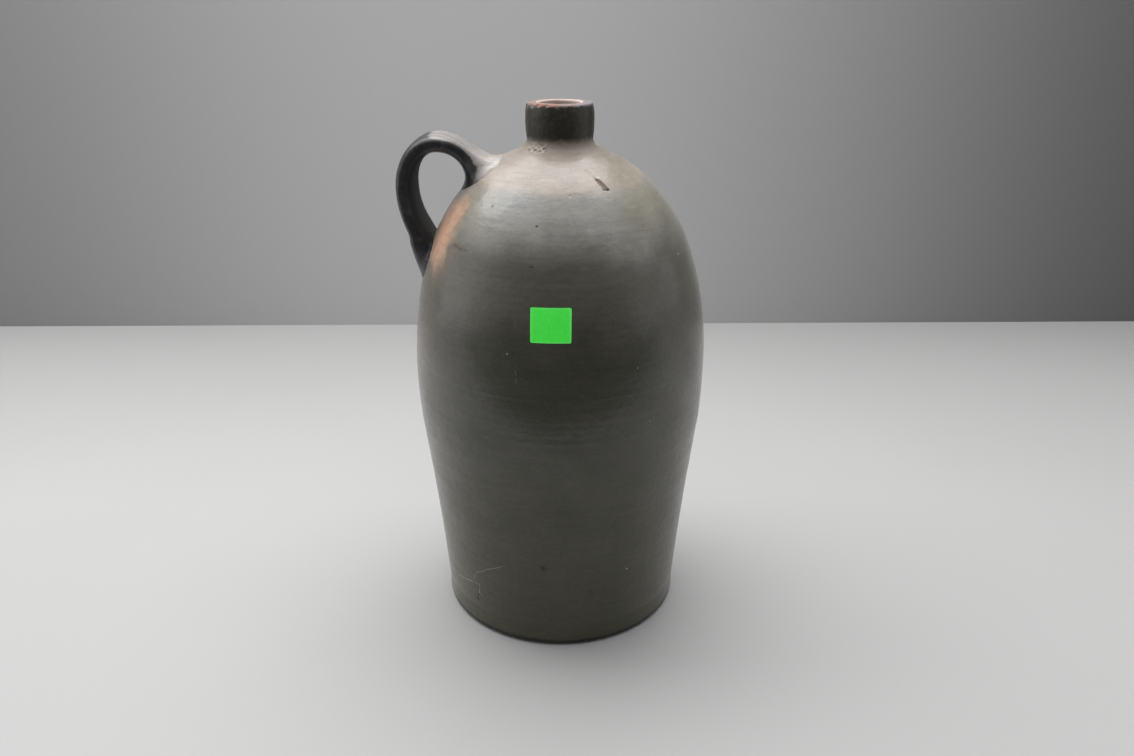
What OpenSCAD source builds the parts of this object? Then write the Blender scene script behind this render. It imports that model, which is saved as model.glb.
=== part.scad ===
// One-gallon stoneware crock jug: two thrown body sections, a neck collar and
// a pulled strap handle, luted together, with a small paper label on the belly.
// The origin is the centre of the flat base. +Z is up and the handle is at -X.

/* [Foot and lower section] */
// Radius of the trimmed foot band
foot_r = 74; // [66:0.5:80]
// Height of the foot band
foot_h = 15; // [8:0.5:22]
// Rounding of the bottom edge, which sets how far the flat base stands in
foot_edge_r = 3.5; // [1.5:0.5:6]
// How far the foot band is trimmed back from the wall above it
foot_step = 0.5; // [0.2:0.1:1.5]
// Outer radius where the two thrown sections meet
joint_r = 85.2; // [79:0.2:92]
// Height of the joint between the two thrown sections
joint_h = 124; // [100:1:140]
// How far the wall between foot and joint draws in from a straight line
wall_hollow = 0.7; // [0:0.1:2]

/* [Upper section] */
// Largest outer radius
belly_r = 86.9; // [82:0.1:95]
// Height of the largest radius
belly_h = 157; // [146:1:170]
// How long the shoulder keeps to the upright of the belly before it turns in
shoulder_pull = 61; // [45:1:80]
// How long the crown keeps to its slope before it turns down
crown_pull = 49; // [35:1:65]
// Slope of the crown where it reaches the neck, in degrees
crown_slope = 20; // [12:1:32]
// Outer radius of the flat seat that carries the neck
seat_r = 23; // [21.5:0.1:26]
// Height of the seat above the base
seat_h = 284.6; // [265:0.2:305]

/* [Walls] */
// Thickness of the floor
floor_t = 10; // [6:0.5:14]
// Radius of the cove between floor and wall
cove_r = 14; // [6:0.5:22]
// Wall thickness at the foot
lower_wall_t = 8.2; // [6:0.1:10]
// Wall thickness at the crown
crown_wall_t = 6.6; // [5:0.1:9]
// Height of the lap that keys the upper section over the lower one
lap_h = 6; // [3:0.5:10]

/* [Neck] */
// Height of the neck above its seat
neck_h = 25.4; // [20:0.2:34]
// Largest outer radius of the neck
neck_r = 19.5; // [18.4:0.1:21.5]
// Outer radius of the neck's waist, above the root fillet
neck_waist_r = 18.8; // [18:0.1:19.4]
// Outer radius at the rim
rim_r = 18.7; // [17.5:0.1:20]
// Distance of the largest radius below the rim
neck_bulge_drop = 7.5; // [5:0.1:9]
// Rounding of the rim's outer and inner edges
rim_round_r = 1.3; // [0.5:0.1:2.5]
// Radius of the mouth that takes the stopper
bore_r = 11.5; // [9:0.1:13]
// Radius of the spigot that keys the neck into the crown
spigot_r = 15.2; // [14.2:0.1:16.5]

/* [Handle] */
// Width of the strap at the grip
strap_w = 34; // [24:0.5:38]
// Thickness of the strap at the grip
strap_t = 10.2; // [8:0.1:12]
// Height of the root's centre below the neck seat
root_drop = 12.6; // [9:0.2:18]
// Angle at which the strap leaves the shoulder, in degrees
root_angle = 74; // [62:1:80]
// Rise of the crest above the root
crest_rise = 16.4; // [12:0.1:22]
// Distance of the crest outward from the root
crest_out = 22.8; // [18:0.2:28]
// Distance of the outermost point outward from the root
handle_reach = 41.1; // [35:0.1:50]
// Height of the outermost point below the root
reach_drop = 7.5; // [3:0.5:12]
// Height of the landing on the shoulder below the root
landing_drop = 36.5; // [30:0.5:42]
// Thickness of the strap where it lands on the shoulder
landing_t = 13.2; // [11:0.1:16]
// Length of the wiped tail below the landing, to its hidden end
tail_len = 29; // [22:0.5:38]
// Lean of the strap from upright where it lands, in degrees
landing_lean = 10; // [5:1:25]
// Depth of the strap's hidden ends under the skin of the shoulder
key_depth = 7; // [5:0.5:9]

/* [Label] */
// Width of the label
label_w = 21.2; // [16:0.1:30]
// Height of the label
label_h = 17.8; // [12:0.1:24]
// Thickness of the paper
label_t = 0.2; // [0.1:0.05:0.4]
// Height of the label's centre above the base
label_up = 207.8; // [170:0.2:230]
// Place of the label round the jug from the front, in degrees towards the handle
label_turn = 3; // [-40:1:40]

/* [Hidden] */
$fn = 96;

clay = [0.42, 0.41, 0.36];
shoulder_clay = [0.56, 0.53, 0.47];
neck_clay = [0.20, 0.19, 0.16];
slip = [0.13, 0.13, 0.14];
label_green = [0.27, 0.78, 0.33];

// Overrun of a cut past the face that it goes through
past = 1;

// Steps along each stretch of the outline
foot_steps = 4;
lower_steps = 7;
belly_steps = 4;
crown_steps = 22;
arc_steps = 6;

// Strap shape along its five anchors, from the hidden root to the hidden tail end,
// as shares of the grip's thickness and width
strap_t_shares = [4.1, 1, 0.97, landing_t / strap_t, 0.42];
strap_w_shares = [1.1, 0.93, 1, 1, 0.5];
// How square the strap's section is at each of them: 2 is an ellipse
strap_powers = [2.3, 2.6, 3.4, 3.4, 3];
// Tangent lengths of the strap's curves, as shares of the stretch they shape
root_pull_share = 0.66;
crest_pull_share = 0.44;
arch_pull_share = 0.55;
limb_pull_share = 0.58;
landing_pull_share = 0.2;
tail_pull_share = 0.33;
// How much of the root's flare lies on the outer side, above an even spread
root_flare_share = 0.53;
// How early the root's flare dies away, and how late the strap swells at the landing
root_flare_power = 5;
landing_swell_power = 6;
blend_power = 2;
// How much the strap narrows between the root's flare and the crest, as a share of its width
root_waist_share = 0.2;
strap_steps = 8;
section_sides = 24;

ceiling_h = seat_h - crown_wall_t;
neck_top = seat_h + neck_h;
bulge_h = neck_top - neck_bulge_drop;
root_fillet_r = (seat_r - neck_waist_r) / (1 - sin(crown_slope));
neck_root_top = seat_h + root_fillet_r * cos(crown_slope);

// Curves

function bezier(p, t) =
    pow(1 - t, 3) * p[0] + 3 * t * pow(1 - t, 2) * p[1]
    + 3 * pow(t, 2) * (1 - t) * p[2] + pow(t, 3) * p[3];

function bezier_tangent(p, t) =
    pow(1 - t, 2) * (p[1] - p[0]) + 2 * t * (1 - t) * (p[2] - p[1])
    + pow(t, 2) * (p[3] - p[2]);

function arc(centre, r, from, to, steps) =
    [for (i = [0:steps]) let (a = from + (to - from) * i / steps)
        centre + r * [cos(a), sin(a)]];

function mix(a, b, share) = a + (b - a) * share;

// Outside of the body, from the top of the foot band to the neck seat, as [radius, height]

wall_foot = [foot_r + foot_step, foot_h + 2 * foot_step];

lower_line = [for (i = [0:lower_steps]) let (u = i / lower_steps)
    [mix(wall_foot.x, joint_r, u) - wall_hollow * sin(180 * u), mix(wall_foot.y, joint_h, u)]];

belly_line = [for (i = [1:belly_steps]) let (u = i / belly_steps)
    [belly_r - (belly_r - joint_r) * pow(1 - u, 2), mix(joint_h, belly_h, u)]];

crown_curve = [
    [belly_r, belly_h],
    [belly_r, belly_h + shoulder_pull],
    [seat_r + crown_pull * cos(crown_slope), seat_h - crown_pull * sin(crown_slope)],
    [seat_r, seat_h]
];
crown_line = [for (i = [1:crown_steps]) bezier(crown_curve, i / crown_steps)];

body_line = concat(lower_line, belly_line, crown_line);

// Outer radius of the body at a height
function body_r(z) = lookup(z, [for (p = body_line) [p.y, p.x]]);

// Outward normal of a line at point i, and the line moved along its normals
function line_normal(line, i) =
    let (d = line[min(i + 1, len(line) - 1)] - line[max(i - 1, 0)]) [d.y, -d.x] / norm(d);
function wall_t_at(z) = mix(lower_wall_t, crown_wall_t, (z - foot_h) / (seat_h - foot_h));

inner_line = [for (i = [0:len(body_line) - 1]) let (p = body_line[i])
    p - wall_t_at(p.y) * line_normal(body_line, i)];

// Radius of the middle of the wall at a height
function wall_middle_r(z) = mix(body_r(z), lookup(z, [for (p = inner_line) [p.y, p.x]]), 1 / 2);

function label_line(lift) = [for (i = [0:len(body_line) - 1]) let (p = body_line[i])
    if (abs(p.y - label_up) < label_h) p + lift * line_normal(body_line, i)];

// Half sections, to be turned about Z

module body_section() {
    polygon(concat(
        [[0, 0]],
        arc([foot_r - foot_edge_r, foot_edge_r], foot_edge_r, -90, 0, foot_steps),
        [[foot_r, foot_h]],
        body_line,
        [[0, seat_h]]
    ));
}

module cavity_section() {
    cove_top = floor_t + cove_r;
    cove_x = body_r(cove_top) - wall_t_at(cove_top) - cove_r;
    polygon(concat(
        [[0, floor_t]],
        arc([cove_x, cove_top], cove_r, -90, 0, arc_steps),
        [for (p = inner_line) if (p.y > cove_top && p.y < ceiling_h) p],
        [[seat_r - crown_wall_t * sin(crown_slope), ceiling_h], [0, ceiling_h]]
    ));
}

// Everything that belongs to the lower section: all below the joint, and the inner lap,
// which follows the middle of the wall
module lower_zone() {
    translate([0, -past]) square([max(belly_r, joint_r) + past, joint_h + past]);
    polygon([
        [0, joint_h - past], [wall_middle_r(joint_h), joint_h - past],
        for (share = [0, 1 / 2, 1]) let (z = joint_h + share * lap_h) [wall_middle_r(z), z],
        [0, joint_h + lap_h]
    ]);
}

module shell_section() {
    difference() {
        body_section();
        cavity_section();
    }
}

module neck_section() {
    steps = arc_steps;
    lip = rim_round_r;
    polygon(concat(
        [[bore_r, ceiling_h], [spigot_r, ceiling_h], [spigot_r, seat_h]],
        arc([neck_waist_r + root_fillet_r, neck_root_top], root_fillet_r, 270 - crown_slope, 180,
            steps),
        [for (i = [1:steps]) let (u = i / steps)
            [neck_r - (neck_r - neck_waist_r) * pow(1 - u, 2), mix(neck_root_top, bulge_h, u)]],
        [for (i = [1:steps]) let (u = i / steps)
            [neck_r - (neck_r - rim_r) * pow(u, 2), mix(bulge_h, neck_top - lip, u)]],
        arc([rim_r - lip, neck_top - lip], lip, 0, 90, steps),
        arc([bore_r + lip, neck_top - lip], lip, 90, 180, steps)
    ));
}

// Strap of the handle, in the plane through the axis

root_h = seat_h - root_drop;
root_point = [body_r(root_h), root_h];
root_dir = [cos(root_angle), sin(root_angle)];
hidden_root = root_point - key_depth * root_dir;
crest = root_point + [crest_out, crest_rise];
outermost = root_point + [handle_reach, -reach_drop];
landing_h = root_h - landing_drop;
landing = [body_r(landing_h) + landing_t / 2, landing_h];
tail_h = landing_h - tail_len;
tail_end = [body_r(tail_h) - key_depth, tail_h];
landing_dir = [sin(landing_lean), cos(landing_lean)];

strap_curves = [
    [hidden_root, hidden_root + root_pull_share * (crest.y - hidden_root.y) * root_dir,
        crest - [crest_pull_share * crest_out, 0], crest],
    [crest, crest + [arch_pull_share * (outermost.x - crest.x), 0],
        outermost + [0, arch_pull_share * (crest.y - outermost.y)], outermost],
    [outermost, outermost - [0, limb_pull_share * (outermost.y - landing.y)],
        landing + landing_pull_share * (outermost.y - landing.y) * landing_dir, landing],
    [landing, landing - tail_pull_share * tail_len * landing_dir,
        tail_end + tail_pull_share * [landing.x - tail_end.x, tail_len], tail_end]
];

// How the section passes from one anchor to the next: it flares into the shoulder at
// the root, swells late at the landing and thins out towards the end of the tail
function strap_ease(stretch, u) =
    stretch == 0 ? 1 - pow(1 - u, root_flare_power)
    : pow(u, stretch == 2 ? landing_swell_power : blend_power);

// One ring of the strap: a rounded oblong square to the curve
function strap_ring(stretch, u) =
    let (
        d = bezier_tangent(strap_curves[stretch], u),
        n = [d.y, -d.x] / norm(d),
        share = strap_ease(stretch, u),
        t = strap_t * mix(strap_t_shares[stretch], strap_t_shares[stretch + 1], share) / 2,
        waist = stretch == 0 ? root_waist_share * pow(sin(180 * u), 2) : 0,
        w = strap_w * (mix(strap_w_shares[stretch], strap_w_shares[stretch + 1], share) - waist) / 2,
        power = mix(strap_powers[stretch], strap_powers[stretch + 1], u),
        flare = stretch == 0 ? root_flare_share * (t - strap_t / 2) : 0,
        c = bezier(strap_curves[stretch], u) - flare * n
    )
    [for (i = [0:section_sides - 1])
        let (
            a = 360 * i / section_sides,
            across = sign(sin(a)) * pow(abs(sin(a)), 2 / power) * w,
            out = sign(cos(a)) * pow(abs(cos(a)), 2 / power) * t
        )
        [-(c.x + out * n.x), across, c.y + out * n.y]];

strap_rings = concat(
    [strap_ring(0, 0)],
    [for (s = [0:len(strap_curves) - 1], i = [1:strap_steps]) strap_ring(s, i / strap_steps)]
);

module swept(rings) {
    n = len(rings[0]);
    last = len(rings) - 1;
    polyhedron(
        points = [for (ring = rings) each ring],
        faces = concat(
            [[for (i = [n - 1:-1:0]) i]],
            [for (k = [0:last - 1], i = [0:n - 1], half = [0, 1])
                let (j = (i + 1) % n, a = k * n, b = a + n)
                half == 0 ? [a + i, b + j, b + i] : [a + i, a + j, b + j]],
            [[for (i = [0:n - 1]) last * n + i]]
        ),
        convexity = 6
    );
}

// Sub-parts

module lower_body() {
    color(clay) rotate_extrude() intersection() {
        shell_section();
        lower_zone();
    }
}

module upper_body() {
    color(shoulder_clay) rotate_extrude() difference() {
        shell_section();
        lower_zone();
        translate([0, ceiling_h - past]) square([spigot_r, crown_wall_t + 2 * past]);
    }
}

module neck_collar() {
    color(neck_clay) rotate_extrude() neck_section();
}

module handle() {
    color(slip) difference() {
        swept(strap_rings);
        rotate_extrude() body_section();
    }
}

module price_label() {
    color(label_green) intersection() {
        rotate_extrude() difference() {
            polygon(concat(label_line(label_t), [[0, label_up + label_h], [0, label_up - label_h]]));
            polygon(concat(label_line(0), [[0, label_up + label_h], [0, label_up - label_h]]));
        }
        rotate([0, 0, -label_turn])
            translate([-label_w / 2, -belly_r - past, label_up - label_h / 2])
            cube([label_w, belly_r + past, label_h]);
    }
}

lower_body();
upper_body();
neck_collar();
handle();
price_label();
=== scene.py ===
"""Looks of the stoneware jug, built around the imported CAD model.

Lengths are in millimetres and become metres where a mesh is made. The floor, the wall, the
lamp and the camera are placed in metres. Azimuths are degrees round the jug from the front,
towards +X.
"""

import math

import bpy
import numpy as np
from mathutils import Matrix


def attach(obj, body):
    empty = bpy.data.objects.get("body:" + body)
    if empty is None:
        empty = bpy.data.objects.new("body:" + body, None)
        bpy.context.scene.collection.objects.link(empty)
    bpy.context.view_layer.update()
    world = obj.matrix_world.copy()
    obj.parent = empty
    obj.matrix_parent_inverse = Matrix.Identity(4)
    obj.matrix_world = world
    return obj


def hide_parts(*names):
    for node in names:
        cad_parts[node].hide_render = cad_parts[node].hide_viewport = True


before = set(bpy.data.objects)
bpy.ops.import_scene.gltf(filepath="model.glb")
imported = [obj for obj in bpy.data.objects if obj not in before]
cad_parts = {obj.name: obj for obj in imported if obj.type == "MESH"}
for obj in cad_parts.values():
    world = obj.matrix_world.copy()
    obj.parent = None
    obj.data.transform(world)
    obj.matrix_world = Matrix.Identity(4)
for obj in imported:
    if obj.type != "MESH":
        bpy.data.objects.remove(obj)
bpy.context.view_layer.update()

MM = 0.001
SHARP = math.radians(60)      # edges that turn by more than this are shaded sharp

# Sizes, as in the CAD source

foot_r, foot_h, foot_edge_r, foot_step = 74, 15, 3.5, 0.5
joint_r, joint_h, wall_hollow = 85.2, 124, 0.7
belly_r, belly_h = 86.9, 157
shoulder_pull, crown_pull, crown_slope = 61, 49, math.radians(20)
seat_r, seat_h = 23, 284.6
floor_t, lower_wall_t, crown_wall_t = 10, 8.2, 6.6
neck_h, neck_r, neck_waist_r, rim_r = 25.4, 19.5, 18.8, 18.7
neck_bulge_drop, rim_round_r, bore_r, spigot_r = 7.5, 1.3, 11.5, 15.2
strap_w, strap_t, root_drop, root_angle = 34, 10.2, 12.6, math.radians(74)
crest_rise, crest_out, handle_reach, reach_drop = 16.4, 22.8, 41.1, 7.5
landing_drop, landing_t, tail_len, landing_lean = 36.5, 13.2, 29, math.radians(10)
key_depth = 7
label_w, label_h, label_t, label_up, label_turn = 21.2, 17.8, 0.2, 207.8, 3

# Numbers


def bezier(p, t):
    t = np.asarray(t, float)[..., None]
    p = [np.asarray(q, float) for q in p]
    return (1 - t)**3*p[0] + 3*t*(1 - t)**2*p[1] + 3*t*t*(1 - t)*p[2] + t**3*p[3]


def bezier_tangent(p, t):
    t = np.asarray(t, float)[..., None]
    p = [np.asarray(q, float) for q in p]
    return (1 - t)**2*(p[1] - p[0]) + 2*t*(1 - t)*(p[2] - p[1]) + t*t*(p[3] - p[2])


def smooth(x, low, high):
    t = np.clip((x - low)/(high - low), 0, 1)
    return t*t*(3 - 2*t)


def unit(v):
    return v/np.maximum(np.linalg.norm(v, axis=-1, keepdims=True), 1e-12)


LATTICE_SIZE = 32
LATTICE = np.random.RandomState(11).rand(LATTICE_SIZE, LATTICE_SIZE, LATTICE_SIZE)


def noise(p, size, seed=0):
    """Smooth noise from -1 to 1 with features about `size` wide."""
    q = np.asarray(p, float)/np.asarray(size, float) + np.array([3.7, 8.1, 5.3])*(seed + 1)
    i = np.floor(q).astype(int)
    f = q - i
    f = f*f*(3 - 2*f)
    out = 0
    for a in (0, 1):
        for b in (0, 1):
            for c in (0, 1):
                w = (f[..., 0] if a else 1 - f[..., 0])*(f[..., 1] if b else 1 - f[..., 1])
                w = w*(f[..., 2] if c else 1 - f[..., 2])
                j = (i + np.array([a, b, c])) % LATTICE_SIZE
                out = out + w*LATTICE[j[..., 0], j[..., 1], j[..., 2]]
    return 2*out - 1


def clouds(p, size, octaves=3, seed=0):
    size = np.asarray(size, float)
    return sum(noise(p, size/2**k, seed + 5*k)/2**k for k in range(octaves))


def resample(line, step):
    """The line with points about `step` apart, where step may be a function of the height."""
    line = np.asarray(line, float)
    s = np.concatenate([[0], np.cumsum(np.linalg.norm(np.diff(line, axis=0), axis=1))])
    where, out = 0.0, []
    while where < s[-1]:
        p = [np.interp(where, s, line[:, k]) for k in (0, 1)]
        out.append(p)
        where += step(p[1]) if callable(step) else step
    out.append(line[-1])
    return np.array(out)


def line_normals(line):
    d = np.gradient(line, axis=0)
    return unit(np.stack([d[:, 1], -d[:, 0]], -1))


def arc(cx, cy, r, a0, a1, n):
    a = np.radians(np.linspace(a0, a1, n))
    return np.stack([cx + r*np.cos(a), cy + r*np.sin(a)], -1)


# The outline of the body, [radius, height]

u = np.linspace(0, 1, 140)
wall_foot = (foot_r + foot_step, foot_h + 2*foot_step)
lower_line = np.stack([wall_foot[0] + (joint_r - wall_foot[0])*u - wall_hollow*np.sin(np.pi*u),
                       wall_foot[1] + (joint_h - wall_foot[1])*u], -1)
belly_line = np.stack([belly_r - (belly_r - joint_r)*(1 - u)**2,
                       joint_h + (belly_h - joint_h)*u], -1)
crown_line = bezier([(belly_r, belly_h), (belly_r, belly_h + shoulder_pull),
                     (seat_r + crown_pull*math.cos(crown_slope),
                      seat_h - crown_pull*math.sin(crown_slope)),
                     (seat_r, seat_h)], np.linspace(0, 1, 500))
body_line = np.concatenate([lower_line, belly_line[1:], crown_line[1:]])


def body_r(z):
    return np.interp(z, body_line[:, 1], body_line[:, 0])


def wall_t_at(z):
    return lower_wall_t + (crown_wall_t - lower_wall_t)*(z - foot_h)/(seat_h - foot_h)


near_line = resample(body_line, 0.4)
near_normal = line_normals(near_line)


def to_body(p):
    """Signed distance of points from the body's smooth outside, and its normal there."""
    r = np.hypot(p[..., 0], p[..., 1])
    q = np.stack([r, p[..., 2]], -1)
    flat = q.reshape(-1, 2)
    dist, norm = np.empty(len(flat)), np.empty((len(flat), 2))
    chunk = 2000      # points at a time, to keep the table of distances small
    for k in range(0, len(flat), chunk):
        part = flat[k:k + chunk]
        i = np.argmin(((part[:, None] - near_line[None])**2).sum(-1), 1)
        norm[k:k + chunk] = near_normal[i]
        dist[k:k + chunk] = ((part - near_line[i])*near_normal[i]).sum(-1)
    norm = norm.reshape(q.shape)
    flat_dir = p[..., :2]/np.maximum(r, 1e-9)[..., None]
    normal = np.concatenate([flat_dir*norm[..., :1], norm[..., 1:]], -1)
    return dist.reshape(r.shape), normal


# Meshes


def make(name, points, faces, material, nodes):
    """Makes a piece that rides on the root body and takes the place of its CAD nodes."""
    mesh = bpy.data.meshes.new(name)
    mesh.from_pydata((np.asarray(points)*MM).tolist(), [], faces)
    mesh.validate()
    mesh.update()
    mesh.shade_smooth()
    mesh.set_sharp_from_angle(angle=SHARP)
    piece = bpy.data.objects.new(name, mesh)
    bpy.context.scene.collection.objects.link(piece)
    mesh.materials.append(material)
    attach(piece, "root")
    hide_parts(*nodes)


def grid_faces(rows, cols, closed_cols=True, start=0):
    """Quads of a grid of points, rows by cols, facing out for rows that go up and columns that go right."""
    spans = cols if closed_cols else cols - 1
    i, j = np.meshgrid(np.arange(rows - 1), np.arange(spans), indexing="ij")
    k = (j + 1) % cols
    q = np.stack([i*cols + j, i*cols + k, (i + 1)*cols + k, (i + 1)*cols + j], -1).reshape(-1, 4)
    return (q + start).tolist()


def turned(line, sides, shape=None, closed=False):
    """Points and faces of a [radius, height] line turned round Z, moved by shape along their normals."""
    line = np.asarray(line, float)
    az = np.arange(sides)/sides*2*np.pi
    normal = line_normals(line)
    direction = np.stack([np.sin(az), -np.cos(az)], -1)[None]

    def swept(pair):
        rise = np.broadcast_to(pair[:, None, 1:], (len(line), sides, 1))
        return np.concatenate([pair[:, None, :1]*direction, rise], -1)

    p, n = swept(line), swept(normal)
    if shape is not None:
        p = p + n*shape(p, n)[..., None]
    faces = grid_faces(len(line), sides)
    if closed:
        last = (len(line) - 1)*sides
        faces += [[last + j, last + (j + 1) % sides, (j + 1) % sides, j] for j in range(sides)]
    return p.reshape(-1, 3), faces


def capped(points, faces, ring, sides, turn_over=False):
    """Closes the ring of points that starts at index `ring` with a fan round a point in its middle."""
    tip = len(points)
    for j in range(sides):
        a, b = ring + j, ring + (j + 1) % sides
        faces.append([tip, b, a] if turn_over else [tip, a, b])
    return np.concatenate([points, points[ring:ring + sides].mean(0)[None]])


# Damage that is modelled in the clay

SCAR_CRACK = (14.2, -34.0, 278.2), (19.6, -38.4, 273.8)
SCAR_LEAF = (19.0, -38.0, 274.3), (25.6, -42.2, 268.9)
SCAR_SLIT = (23.4, -42.4, 269.6), (25.9, -41.2, 269.2)
CRACK_W, CRACK_DEPTH, SLIT_DEPTH = 0.55, 0.34, 0.7
LEAF_HALF_W, LIP_OUT, LIP_W, LIP_H = 1.2, 0.55, 0.75, 0.55

PITS = [  # x, y, z, radius, depth
    (-11.4, -61.2, 254.2, 0.8, 0.35), (-9.4, -77.3, 58.1, 1.5, 0.75), (-50.7, -55.4, 20.9, 1.3, 0.5),
    (-49.3, -56.8, 24.2, 1.7, 0.45), (5.6, -50.3, 267.8, 0.8, 0.2), (30.5, -15.1, 279.6, 0.9, 0.25),
    (-4.6, -25.6, 283.4, 1.0, 0.25), (69.2, -47.7, 114.4, 0.9, 0.3), (-26.9, -80.4, 191.8, 0.7, 0.15),
    (39.6, -66.3, 50.0, 0.8, 0.2), (18.7, -73.9, 37.6, 0.9, 0.2), (-13.6, -73.5, 18.7, 1.0, 0.25),
]
CHIPS = [  # x, y, z, radius, depth: at the left and right outlines
    (82.9, -22.4, 130.4, 2.6, 0.45), (84.3, -12.0, 127.6, 2.1, 0.35), (77.4, -33.2, 114.6, 1.6, 0.3),
    (74.6, -27.0, 43.0, 2.2, 0.5), (72.8, 19.0, 33.0, 2.0, 0.4), (-62.0, 58.0, 121.0, 2.4, 0.3),
]
RIM_CHIPS = [  # x, y, z, radius, depth: on the neck's rim
    (-14.6, -11.2, 309.6, 2.2, 0.8), (-11.6, -14.6, 309.8, 1.8, 0.7), (-6.6, -17.2, 309.9, 1.5, 0.55),
    (-16.8, -6.6, 309.4, 1.4, 0.6), (9.5, -15.9, 310.0, 1.3, 0.35), (16.0, 8.8, 309.8, 1.8, 0.5),
    (-3.0, 18.0, 309.9, 1.6, 0.4),
]
CRUMBS = [  # azimuth, height, radius, how far it stands out: clay left at the neck's foot
    (-22, 286.0, 0.7, 0.40), (-27, 287.2, 0.9, 0.60), (-32, 285.8, 1.0, 0.50),
    (-36, 287.8, 0.7, 0.50), (-41, 286.2, 1.2, 0.65), (-47, 287.2, 0.8, 0.50),
    (-53, 285.9, 1.1, 0.55), (-35, 289.4, 0.6, 0.40), (-28, 288.9, 0.5, 0.30),
]
DRIPS = [  # place, radius: glaze drips on the handle's landing
    ((-73.2, -15.8, 240.8), 1.7), ((-78.6, -15.8, 237.2), 1.4), ((-76.9, -15.6, 232.4), 1.2),
    ((-71.0, -15.9, 243.0), 1.1), ((-81.0, -14.6, 244.5), 1.0),
]


def along(p, a, b):
    """Share along the line from a to b, and distance from it."""
    a, b = np.asarray(a, float), np.asarray(b, float)
    d = b - a
    t = ((p - a)@d)/(d@d)
    foot = a + np.clip(t, 0, 1)[..., None]*d
    return t, np.linalg.norm(p - foot, axis=-1)


def side_of(p, a, b, n):
    """Signed distance to the left of the line from a to b on the surface with normal n."""
    d = unit(np.asarray(b, float) - np.asarray(a, float))
    left = np.cross(n, d)
    return ((p - np.asarray(a, float))*left).sum(-1)


def gouge(p, n):
    """The scar beside the neck: a thin crack that opens into a leaf-shaped gouge with a raised lip."""
    near = (np.abs(p[..., 0] - 20) < 14) & (np.abs(p[..., 1] + 39) < 14) & (p[..., 2] > 262)
    out = np.zeros(p.shape[:-1])
    q, m = p[near], n[near]
    if not len(q):
        return out
    depth = np.zeros(len(q))
    _, d = along(q, *SCAR_CRACK)
    depth -= CRACK_DEPTH*np.exp(-(d/CRACK_W)**2)
    t, _ = along(q, *SCAR_LEAF)
    s = side_of(q, *SCAR_LEAF, m)
    half = LEAF_HALF_W*np.sqrt(np.clip(np.sin(np.pi*np.clip(t*0.92 + 0.06, 0, 1)), 0, 1))
    inside = smooth(half - np.abs(s), -0.35, 0.9)*(np.abs(t - 0.5) < 0.62)
    rough = 0.24*noise(q, 1.4, 3) + 0.12*noise(q, 0.7, 4)
    depth -= inside*(0.42 + 0.30*t + 0.25*smooth(s, -1.2, 1.4) + rough)
    lip = np.exp(-((s - half - LIP_OUT)/LIP_W)**2)*smooth(t, -0.1, 0.15)*(1 - smooth(t, 0.85, 1.1))
    depth += LIP_H*lip*(1 - inside)
    _, d = along(q, *SCAR_SLIT)
    depth -= SLIT_DEPTH*np.exp(-(d/CRACK_W)**2)
    out[near] = depth
    return out


def dents(p, marks):
    out = np.zeros(p.shape[:-1])
    for x, y, z, r, depth in marks:
        near = (np.abs(p[..., 2] - z) < 3*r) & (np.abs(p[..., 0] - x) < 3*r) & (np.abs(p[..., 1] - y) < 3*r)
        q = p[near]
        if not len(q):
            continue
        d = np.linalg.norm(q - np.array([x, y, z]), axis=-1)*(1 + 0.25*noise(q, 2.2*r, 7))
        edge = 0.10*depth*np.exp(-((d - 1.35*r)/(0.3*r))**2)
        out[near] -= depth*(1 - smooth(d, 0.35*r, 1.15*r)) - edge
    return out


def body_shape(p, n):
    """Everything that makes the thrown wall less than perfect, in mm along the normal."""
    z = p[..., 2]
    az = np.arctan2(p[..., 0], -p[..., 1])
    wobble = (0.16*noise(p, (60, 60, 45), 1) - 0.17)*smooth(z, 3, 20)*(1 - smooth(z, 262, 280))
    rise = z + 1.8*np.sin(az + 0.7) + 1.0*np.sin(2*az + 2.0)
    one = np.stack([rise*0, rise*0 + 2, rise], -1)
    rings = 0.075*noise(one, 3.6, 2) + 0.045*noise(one, 1.7, 6)
    fade = (0.55 + 0.45*noise(p, (30, 30, 22), 8))*(1 - 0.5*smooth(z, 225, 270))
    turning = 0.03*clouds(p*np.array([0.15, 0.15, 1]), 1.3, 2, 4)*(1 - smooth(z, 60, 110))
    skin = 0.035*clouds(p, 2.6, 2, 9)
    flat = smooth(z, 0.6, 4)
    return (wobble - 0.02 + rings*fade + turning + skin)*flat + gouge(p, n) + dents(p, PITS + CHIPS)


# Node trees


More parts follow.
